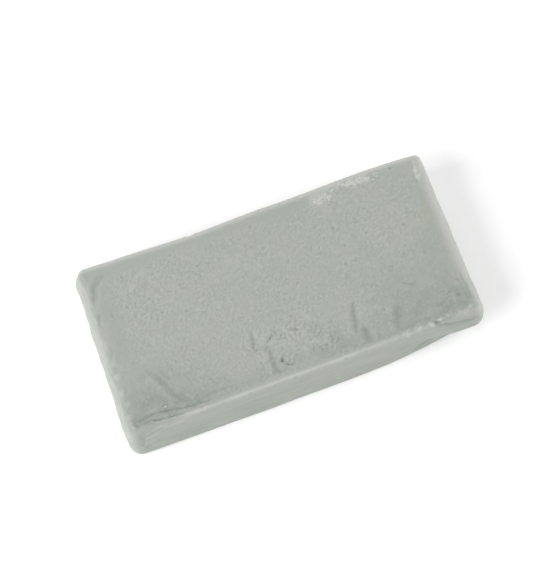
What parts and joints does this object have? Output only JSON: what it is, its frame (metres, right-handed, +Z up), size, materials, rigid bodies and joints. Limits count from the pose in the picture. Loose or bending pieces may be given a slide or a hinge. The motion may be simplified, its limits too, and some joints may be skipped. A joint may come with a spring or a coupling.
{
  "type": "clay bar",
  "caption": "Rectangular block of kneadable detailing clay with softly rounded edges, a raised front lip and a flat underside.",
  "frame": {"origin": "middle of the bar's box, on the surface that the underside rests on", "axes": "+X along the length, +Y from the lipped front to the back, +Z up out of the top face"},
  "size_m": [0.092, 0.0494, 0.013],
  "materials": {
    "clay": "matte"
  },
  "bodies": {
    "root": {"clay_bar": "clay"}
  },
  "joints": []
}
